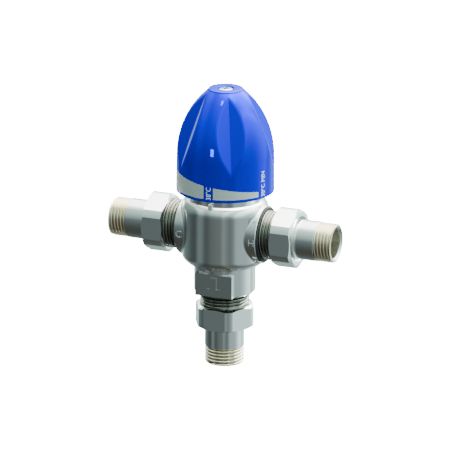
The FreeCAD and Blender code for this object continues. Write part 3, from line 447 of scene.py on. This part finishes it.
def knob():
    """Hollow shell with its hub. Its rows run from the ceiling down the inside and up the outside."""
    rows = []                                       # each is a function of the bearing: (radius, rise)
    for i in range(INSIDE_ROWS, -1, -1):
        rise = KNOB_CEILING * i / INSIDE_ROWS
        rows.append(lambda bearing, rise=rise: (knob_radius(bearing, rise, KNOB_WALL), rise))
    for degrees in (0, 30, 60, 90):
        angle = math.radians(degrees)
        back = KNOB_LOWER_EDGE * (1 - math.sin(angle))
        up = KNOB_LOWER_EDGE * (1 - math.cos(angle))
        rows.append(lambda bearing, back=back, up=up: (knob_radius(bearing, up) - back, up))
    for rise in knob_rows():
        rows.append(lambda bearing, rise=rise: (knob_radius(bearing, rise), rise))
    rim_rise = KNOB_HEIGHT - KNOB_TOP_EDGE
    for degrees in (22.5, 45, 67.5, 90):
        angle = math.radians(degrees)
        back = KNOB_TOP_EDGE * (1 - math.cos(angle))
        rise = rim_rise + KNOB_TOP_EDGE * math.sin(angle)
        rows.append(lambda bearing, back=back, rise=rise: (knob_radius(bearing, rim_rise) - back, rise))
    well_r, well_edge = HEAD_R + HEAD_GAP, 0.2
    well_floor = KNOB_HEIGHT - HEAD_SINK - HEAD_HEIGHT
    for radius, rise in ((well_r + well_edge, KNOB_HEIGHT), (well_r, KNOB_HEIGHT - well_edge),
                         (well_r, well_floor), (0, well_floor)):
        rows.append(lambda bearing, radius=radius, rise=rise: (radius, rise))

    def point(row, turn):
        radius, rise = rows[row](FLUTE_ANGLE + 360 * turn)
        return radius, KNOB_BOTTOM + rise

    shell = moved(sweep(len(rows), KNOB_COLUMNS, point), Matrix.Rotation(math.radians(FLUTE_ANGLE), 4, "Z"))
    hub_foot, ceiling_z = KNOB_BOTTOM + HUB_START, KNOB_BOTTOM + KNOB_CEILING
    hub = lathe([(HUB_BORE_R, hub_foot), (HUB_R, hub_foot), (HUB_R, ceiling_z), (HUB_BORE_R, ceiling_z)])
    ceiling = lathe([(0, ceiling_z), (profile_radius(KNOB_CEILING, KNOB_WALL), ceiling_z)])
    obj = new_piece("knob", *join(shell, hub, ceiling), BLUE_PLASTIC, "knob", sharp=28)
    obj.visible_glossy = False                      # the photo's metal shows no blue
    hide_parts("temperature_knob")
    return obj


def on_skirt(degrees, rise):
    """Point of the printed dial: bearing from the pointer and height above the knob's lower edge."""
    bearing = degrees - 90
    x, y = around(knob_radius(bearing, rise) + PRINT_PROUD, bearing)
    return x, y, KNOB_BOTTOM + rise


def dial_band(name, start, end):
    """Grey band between two bearings, with a column for each degree."""
    columns = round(abs(end - start)) + 1
    verts = []
    for row in range(BAND_ROWS):
        for col in range(columns):
            degrees = start + (end - start) * col / (columns - 1)
            height = BAND_MIDDLE - BAND_TAPER * degrees
            verts.append(on_skirt(degrees, BAND_FOOT + height * row / (BAND_ROWS - 1)))
    new_piece(name, verts, grid_faces(columns, BAND_ROWS), BAND_PRINT, "knob", sharp=180)


def text_mesh(words, height, weight=0.0):
    """Flat letters as a bmesh in millimetres, centred on the origin. Weight thickens or thins them."""
    curve = bpy.data.curves.new("words", "FONT")
    curve.body = words
    curve.size = 1.0
    curve.offset = weight
    curve.resolution_u = 4
    curve.align_x = "CENTER"
    obj = bpy.data.objects.new("words", curve)
    bpy.context.scene.collection.objects.link(obj)
    bpy.context.view_layer.update()
    mesh = bpy.data.meshes.new_from_object(obj.evaluated_get(bpy.context.evaluated_depsgraph_get()))
    bpy.data.objects.remove(obj)
    bm = bmesh.new()
    bm.from_mesh(mesh)
    bpy.data.meshes.remove(mesh)
    low = min(v.co.y for v in bm.verts)
    high = max(v.co.y for v in bm.verts)
    left = min(v.co.x for v in bm.verts)
    right = max(v.co.x for v in bm.verts)
    scale = height / (high - low)
    middle = Vector(((left + right) / 2, (low + high) / 2, 0))
    for v in bm.verts:
        v.co = (v.co - middle) * scale
    return bm


def dial_text(name, words, degrees, foot):
    """Letters printed up the skirt, read from below upwards."""
    bm = text_mesh(words, DIAL_TEXT)
    for i in range(1, TEXT_SLICES):
        level = (i / TEXT_SLICES - 0.5) * DIAL_TEXT
        geometry = bm.verts[:] + bm.edges[:] + bm.faces[:]
        bmesh.ops.bisect_plane(bm, geom=geometry, plane_co=(0, level, 0), plane_no=(0, 1, 0), dist=1e-5)
    left = min(v.co.x for v in bm.verts)
    degree = math.pi * KNOB_R / 180
    for v in bm.verts:
        v.co = Vector(on_skirt(degrees - v.co.y / degree, foot + TEXT_NARROW * (v.co.x - left)))
    verts = [tuple(v.co) for v in bm.verts]
    bm.verts.index_update()
    faces = [tuple(v.index for v in f.verts) for f in bm.faces]
    bm.free()
    new_piece(name, verts, faces, WHITE_PRINT, "knob", sharp=180)


def apply_modifiers(obj):
    """Bakes the modifiers into the mesh."""
    mesh = bpy.data.meshes.new_from_object(obj.evaluated_get(bpy.context.evaluated_depsgraph_get()))
    obj.modifiers.clear()
    obj.data = mesh


def screw():
    """Screw with a crowned head and a cross recess, whose walls and floor carry painted shade."""
    top = KNOB_BOTTOM + KNOB_HEIGHT - HEAD_SINK
    bottom = top - HEAD_HEIGHT
    foot = bottom - SHANK_LENGTH
    crown = []
    for degrees in range(0, 91, 15):
        across, up = around(1.0, degrees)
        crown.append((HEAD_R - HEAD_CROWN_R * (1 - across), top - HEAD_CROWN_DROP * (1 - up)))
    outline = [(0, foot), (SHANK_R, foot), (SHANK_R, bottom), (HEAD_R, bottom)] + crown + [(0, top)]
    obj = new_piece("screw", *lathe(outline, columns=64), CHROME, "knob")
    for half_x, half_y in ((RECESS_REACH, RECESS_HALF), (RECESS_HALF, RECESS_REACH)):
        corners = []
        for level, scale in ((top + 1, RECESS_MOUTH), (top - RECESS_DEPTH, RECESS_TIP)):
            for side_x, side_y in ((-1, -1), (1, -1), (1, 1), (-1, 1)):
                corners.append((side_x * half_x * scale, side_y * half_y * scale, level))
        faces = [(0, 1, 2, 3), (4, 7, 6, 5), (0, 4, 5, 1), (1, 5, 6, 2), (2, 6, 7, 3), (3, 7, 4, 0)]
        cutter = new_piece("cutter", corners, faces, CHROME, "knob")
        cut = obj.modifiers.new("recess", "BOOLEAN")
        cut.object = cutter
        cut.operation = "DIFFERENCE"
        cut.solver = "EXACT"
        bpy.context.view_layer.update()
        apply_modifiers(obj)
        bpy.data.objects.remove(cutter)
    obj.data.materials.append(RECESS_PAINTED_SHADE)
    for face in obj.data.polygons:                  # painted shade on the recess's walls and floor, not on the head's top
        centre = face.center / MM
        in_shaded_recess = centre.xy.length < RECESS_REACH and centre.z > top - RECESS_DEPTH * 1.1
        if in_shaded_recess and (face.normal.z < 0.9 or centre.z < top - 0.1):
            face.material_index = 1
    obj.data.shade_smooth()
    obj.data.set_sharp_from_angle(angle=math.radians(30))
    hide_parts("knob_screw")


# ---- unions ---------------------------------------------------------------------------------------
def tail(port):
    """Union tail in three pieces: its turned outside, its bore and its thread."""
    def end_chamfer(height):
        return TAIL_CREST_R + TAIL_END - TAIL_EDGE - height

    smooth = lathe([
        (TAIL_BORE_R, GASKET_END),
        (COLLAR_R, GASKET_END),
        (COLLAR_R, COLLAR_END - EDGE),
        (COLLAR_R - EDGE, COLLAR_END),
        (TAIL_R, COLLAR_END),
        (TAIL_R, TAIL_PLAIN_END - EDGE),
        (TAIL_R - EDGE, TAIL_PLAIN_END),
        (TAIL_ROOT_R - EDGE, TAIL_PLAIN_END),
        (TAIL_ROOT_R - EDGE, TAIL_THREAD_START),
    ])
    ridges = thread(TAIL_ROOT_R, TAIL_CREST_R, TAIL_THREAD_START, TAIL_END, end_chamfer)
    mouth = lathe([
        (TAIL_ROOT_R - EDGE, TAIL_END),
        (TAIL_BORE_R + TAIL_MOUTH, TAIL_END),
        (TAIL_BORE_R, TAIL_END - TAIL_MOUTH),
    ])
    place = PORTS[port]
    obj = new_piece(f"{port}_tail", *moved(join(smooth, mouth), place), TURNED_NICKEL, "valve", sharp=40)
    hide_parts(f"{port}_union_tail")
    # the bore's pale tone is painted light
    bore = lathe([(TAIL_BORE_R, TAIL_END - TAIL_MOUTH), (TAIL_BORE_R, GASKET_END)])
    obj = new_piece(f"{port}_tail_bore", *moved(bore, place), BORE_PAINTED_LIGHT, "valve")
    obj = new_piece(f"{port}_tail_thread", *moved(ridges, place), TAIL_THREAD_FINISH, "valve", sharp=40)


def port_thread(port):
    # the thread's dark colour is painted shade
    part = moved(thread(PORT_CORE_R, PORT_CREST_R, PORT_THREAD_START, PORT_THREAD_END), PORTS[port])
    obj = new_piece(f"{port}_port_thread", *part, PORT_THREAD_PAINTED_SHADE, "valve", sharp=40)


def shoulder_shade_ring(port):
    """Thin black ring against a port's shoulder, inboard of the thread: painted shade for the shadow in the
    thread's undercut.
    """
    outline = [(PORT_CORE_R, SHADE_RING_GAP), (SHADE_RING_R - EDGE, SHADE_RING_GAP), (SHADE_RING_R, EDGE),
               (SHADE_RING_R, SHADE_RING_THICK - EDGE), (SHADE_RING_R - EDGE, SHADE_RING_THICK), (PORT_CORE_R, SHADE_RING_THICK)]
    obj = new_piece(f"{port}_shoulder_shade_ring", *moved(lathe(outline), PORTS[port]), RUBBER_AND_PAINTED_SHADE, "valve")


# ---- marks on the casting -------------------------------------------------------------------------
def raised_letter(name, words, x):
    """Letter that stands out from a boss. The polished metal doesn't mirror it, as in the photo."""
    bm = text_mesh(words, LETTER_HEIGHT, LETTER_WEIGHT)
    bm.verts.index_update()
    degree = math.pi * BOSS_R / 180
    foot_r = BOSS_R - MARK_SUNK
    verts = []
    for radius in (foot_r, foot_r + LETTER_PROUD):
        for v in bm.verts:
            angle = math.radians(LETTER_BEARING + v.co.y / degree)
            verts.append((x + v.co.x, -radius * math.cos(angle), AXIS_HEIGHT + radius * math.sin(angle)))
    count = len(bm.verts)
    foot = [tuple(v.index for v in f.verts) for f in bm.faces]
    faces = foot + [tuple(count + i for i in face) for face in foot]
    for edge in bm.edges:
        if edge.is_boundary:
            a, b = (v.index for v in edge.verts)
            faces.append((a, b, count + b, count + a))
    bm.free()
    # the letter's pale base is a painted highlight on its strokes
    obj = new_piece(name, verts, faces, SATIN_NICKEL_PAINTED_LIGHT, "valve")
    obj.visible_glossy = False


def flow_arrow():
    """Raised arrow on the front spanner flat, pointing to the outlet."""
    right = [(ARROW_HALF_HEAD, ARROW_BARB), (ARROW_HALF_SHAFT, ARROW_BARB), (ARROW_HALF_SHAFT, ARROW_END)]
    outline = [(0, ARROW_TIP)] + right + [(-x, z) for x, z in reversed(right)]
    count = len(outline)
    verts = [(x, ARROW_FACE_Y + MARK_SUNK, z) for x, z in outline]
    verts += [(x * ARROW_TAPER, ARROW_FACE_Y - ARROW_PROUD, z) for x, z in outline]
    faces = [tuple(range(count, 2 * count))]
    for i in range(count):
        j = (i + 1) % count
        faces.append((i, j, count + j, count + i))
    obj = new_piece("flow_arrow", verts, faces, CAST_NICKEL, "valve")


def bevel(obj, width, segments):
    rounding = obj.modifiers.new("rounding", "BEVEL")
    rounding.width = width * MM
    rounding.segments = segments
    return rounding


def index_nub():
    """Satin cover of the nub that the dial is read against, with rounded edges; its pale base colour is
    painted light.
    """
    half_width, thick, back = 1.25, 1.7, -19.72
    foot, head = AXIS_HEIGHT + 15.6, AXIS_HEIGHT + 19.75
    corners = ((-half_width, back), (half_width, back),
               (half_width, back - thick), (-half_width, back - thick))
    verts = [(x, y, z) for z in (foot, head) for x, y in corners]
    faces = [(0, 1, 2, 3), (4, 5, 6, 7), (0, 1, 5, 4), (1, 2, 6, 5), (2, 3, 7, 6), (3, 0, 4, 7)]
    obj = new_piece("index_nub", verts, faces, SATIN_NICKEL_PAINTED_LIGHT, "valve")
    bevel(obj, width=0.45, segments=4)


# ---- CAD pieces that show as they are -------------------------------------------------------------
CAD_FINISH = {
    "nickel_plated_body": CAST_NICKEL,
    "nickel_plated_nut": NUT_NICKEL,
    "nickel_plated_tail": TURNED_NICKEL,
    "nickel_plated_bonnet": TURNED_NICKEL,
    "blue_plastic": BLUE_PLASTIC,
    "chrome_screw": CHROME,
    "plain_brass": BRASS,
    "seal_rubber": RUBBER_AND_PAINTED_SHADE,
    "valve_plastic": WHITE_PLASTIC,
    "shuttle_plastic": BLACK_PLASTIC,
    "stainless_steel": STEEL,
}


def soften(node):
    """Breaks a CAD piece's sharp edges, so that they catch the light."""
    rounding = bevel(node, width=0.3, segments=2)
    rounding.limit_method = "ANGLE"
    rounding.angle_limit = math.radians(35)
    rounding.harden_normals = True


def dress_cad():
    """Gives every CAD piece the finish of its material slot."""
    for part in frame["record"]["subparts"]:
        node = frame["nodes"][part["node"]]
        node.data.materials.clear()
        node.data.materials.append(CAD_FINISH[part["material_slot"]])
        if part["material_slot"] in ("nickel_plated_body", "nickel_plated_nut"):
            soften(node)


# ---- floor, light and camera, in metres -----------------------------------------------------------
FLOOR_HALF = 7.0
FLOOR_DROP = 0.0005         # below the tail's end face
BACKDROP_R = 6.0
GLOW = 18.0                 # makes floor and backdrop plain white in the render


def glowing(name, verts, faces):
    """White surface of the light box: even, unshadowed and unseen in the metal."""
    mesh = bpy.data.meshes.new(name)
    mesh.from_pydata(verts, [], faces)
    obj = bpy.data.objects.new(name, mesh)
    bpy.context.scene.collection.objects.link(obj)
    white = material(name, (0.92, 0.92, 0.92), 0.0, 0.9)
    shader = white.node_tree.nodes["Principled BSDF"]
    shader.inputs["Emission Color"].default_value = (1, 1, 1, 1)
    shader.inputs["Emission Strength"].default_value = GLOW
    obj.data.materials.append(white)
    obj.visible_glossy = False
    obj.visible_diffuse = False
    return obj


def light_box():
    half, z = FLOOR_HALF, -FLOOR_DROP
    corners = [(-half, -half, z), (half, -half, z), (half, half, z), (-half, half, z)]
    glowing("floor", corners, [(0, 1, 2, 3)])
    arc = [around(BACKDROP_R, angle) for angle in range(-90, 91, 6)]
    backdrop = glowing("backdrop", *lathe(arc, 60))
    backdrop.visible_shadow = False


def soft_light(name, azimuth, elevation, distance, width, height, power, only):
    """Area light aimed at the middle of the valve, for one piece only.

    Azimuth 0 is in front and 90 is on the right.
    """
    a, e = math.radians(azimuth), math.radians(elevation)
    target = Vector((0, 0, 0.08))
    away = Vector((math.sin(a) * math.cos(e), -math.cos(a) * math.cos(e), math.sin(e)))
    light = bpy.data.lights.new(name, "AREA")
    light.shape = "RECTANGLE"
    light.size = width
    light.size_y = height
    light.energy = power
    obj = bpy.data.objects.new(name, light)
    obj.location = target + away * distance
    obj.rotation_mode = "QUATERNION"
    obj.rotation_quaternion = (-away).to_track_quat("-Z", "Y")
    bpy.context.scene.collection.objects.link(obj)
    receivers = bpy.data.collections.new(name + "_receivers")
    receivers.objects.link(only)
    obj.light_linking.receiver_collection = receivers


WORLD_TILT = 30.0           # how far the pale overhead leans away from the front
# light from each height in the tilted surround, -1 at its foot and 1 at its top
SURROUND = (
    (-1.00, (0.092, 0.086, 0.064)),
    (-0.97, (0.115, 0.122, 0.100)),
    (-0.84, (0.15, 0.175, 0.165)),
    (-0.63, (0.21, 0.27, 0.275)),
    (-0.375, (0.30, 0.40, 0.40)),
    (-0.087, (0.72, 1.00, 0.97)),
    (0.225, (1.15, 1.70, 1.55)),
    (0.515, (1.75, 2.35, 2.10)),
    (0.70, (3.8, 4.6, 4.1)),
    (0.82, (10.0, 10.5, 10.0)),
    (0.945, (13.0, 13.8, 12.6)),
    (1.00, (14.0, 14.0, 14.0)),
)
SURROUND_PEAK = 14.0        # a ramp holds shares of this
# how much of it comes from each side, -1 on the left and 1 on the right
SIDES = (
    (-1.0, 0.30), (-0.95, 0.28), (-0.86, 0.29), (-0.75, 0.92), (-0.64, 0.90), (-0.52, 0.50),
    (-0.40, 0.55), (-0.27, 0.80), (0.0, 1.0), (0.15, 1.0), (0.29, 1.65), (0.42, 1.2),
    (0.54, 0.87), (0.65, 1.05), (0.75, 2.0), (0.90, 1.8), (1.0, 0.95),
)
SIDES_PEAK = 2.5


def ramp(nodes, stops, peak):
    """Colour ramp over -1 to 1, with its colours as shares of their peak."""
    node = nodes.new("ShaderNodeValToRGB")
    elements = node.color_ramp.elements
    while len(elements) < len(stops):
        elements.new(0.5)
    for element, (place, colour) in zip(elements, stops):
        element.position = (place + 1) / 2
        element.color = (*(part / peak for part in colour), 1)
    return node


def studio_world():
    """Soft surround: pale overhead and behind, grey at eye level, dark below, with upright panels."""
    world = bpy.data.worlds.new("studio")
    bpy.context.scene.world = world
    world.use_nodes = True
    nodes, links = world.node_tree.nodes, world.node_tree.links
    where = nodes.new("ShaderNodeTexCoord")
    axes = nodes.new("ShaderNodeSeparateXYZ")
    links.new(where.outputs["Generated"], axes.inputs["Vector"])
    lean = nodes.new("ShaderNodeMath")
    lean.operation = "MULTIPLY"
    lean.inputs[1].default_value = math.sin(math.radians(WORLD_TILT))
    links.new(axes.outputs["Y"], lean.inputs[0])
    height = nodes.new("ShaderNodeMath")
    height.operation = "MULTIPLY_ADD"
    height.inputs[1].default_value = math.cos(math.radians(WORLD_TILT))
    links.new(axes.outputs["Z"], height.inputs[0])
    links.new(lean.outputs["Value"], height.inputs[2])

    greys = [(place, (grey,) * 3) for place, grey in SIDES]
    layers = []
    for source, stops, peak in ((height.outputs["Value"], SURROUND, SURROUND_PEAK),
                                (axes.outputs["X"], greys, SIDES_PEAK)):
        spread = nodes.new("ShaderNodeMapRange")
        spread.inputs["From Min"].default_value = -1.0
        links.new(source, spread.inputs["Value"])
        layer = ramp(nodes, stops, peak)
        links.new(spread.outputs["Result"], layer.inputs["Fac"])
        layers.append(layer.outputs["Color"])
    product = nodes.new("ShaderNodeMix")
    product.data_type = "RGBA"
    product.blend_type = "MULTIPLY"
    product.inputs[0].default_value = 1.0           # a Mix node's factor; 6, 7 and output 2 are its colours
    links.new(layers[0], product.inputs[6])
    links.new(layers[1], product.inputs[7])
    links.new(product.outputs[2], nodes["Background"].inputs["Color"])
    nodes["Background"].inputs["Strength"].default_value = SURROUND_PEAK * SIDES_PEAK


def camera():
    """Camera at the photo's view: 22 degrees round to the right and 17.5 above."""
    azimuth, elevation, roll = math.radians(22), math.radians(17.5), math.radians(0.33)
    distance, frame_width, sensor = 2.4, 0.2398, 36.0       # the sensor in millimetres
    aim_right, aim_up = 0.0005, 0.0018
    back = Vector((math.sin(azimuth) * math.cos(elevation), -math.cos(azimuth) * math.cos(elevation),
                   math.sin(elevation)))
    right = Vector((math.cos(azimuth), math.sin(azimuth), 0))
    up = back.cross(right)
    target = Vector((0, 0, AXIS_HEIGHT * MM)) + right * aim_right + up * aim_up
    data = bpy.data.cameras.new("camera")
    data.sensor_width = sensor
    data.lens = sensor * distance / frame_width
    data.clip_end = 100
    obj = bpy.data.objects.new("camera", data)
    obj.location = target + back * distance
    obj.rotation_mode = "QUATERNION"
    turn = (-back).to_track_quat("-Z", "Y")
    obj.rotation_quaternion = turn @ Matrix.Rotation(roll, 4, "Z").to_quaternion()
    bpy.context.scene.collection.objects.link(obj)
    bpy.context.scene.camera = obj


# ---- the valve ------------------------------------------------------------------------------------
dress_cad()
blue_knob = knob()
dial_band("band_to_min", GAP_END, BAND_MIN_END)
dial_band("band_to_max", GAP_START, BAND_MAX_END)
dial_text("figure_middle", "38°C", degrees=1.85, foot=1.4)
dial_text("figure_min", "30°C MIN", degrees=71.5, foot=1.35)
dial_text("figure_max", "MAX", degrees=-139.0, foot=1.4)
screw()
for port_name in PORTS:
    tail(port_name)
    port_thread(port_name)
    shoulder_shade_ring(port_name)
raised_letter("letter_cold", "C", x=-20.2)
raised_letter("letter_hot", "H", x=21.0)
flow_arrow()
index_nub()
light_box()
studio_world()
soft_light("front_window", azimuth=-9.3, elevation=3.5, distance=1.0, width=0.13, height=0.16, power=1.2,
           only=blue_knob)
soft_light("high_window", azimuth=-3.8, elevation=69, distance=1.0, width=0.12, height=0.12, power=0.9,
           only=blue_knob)
camera()
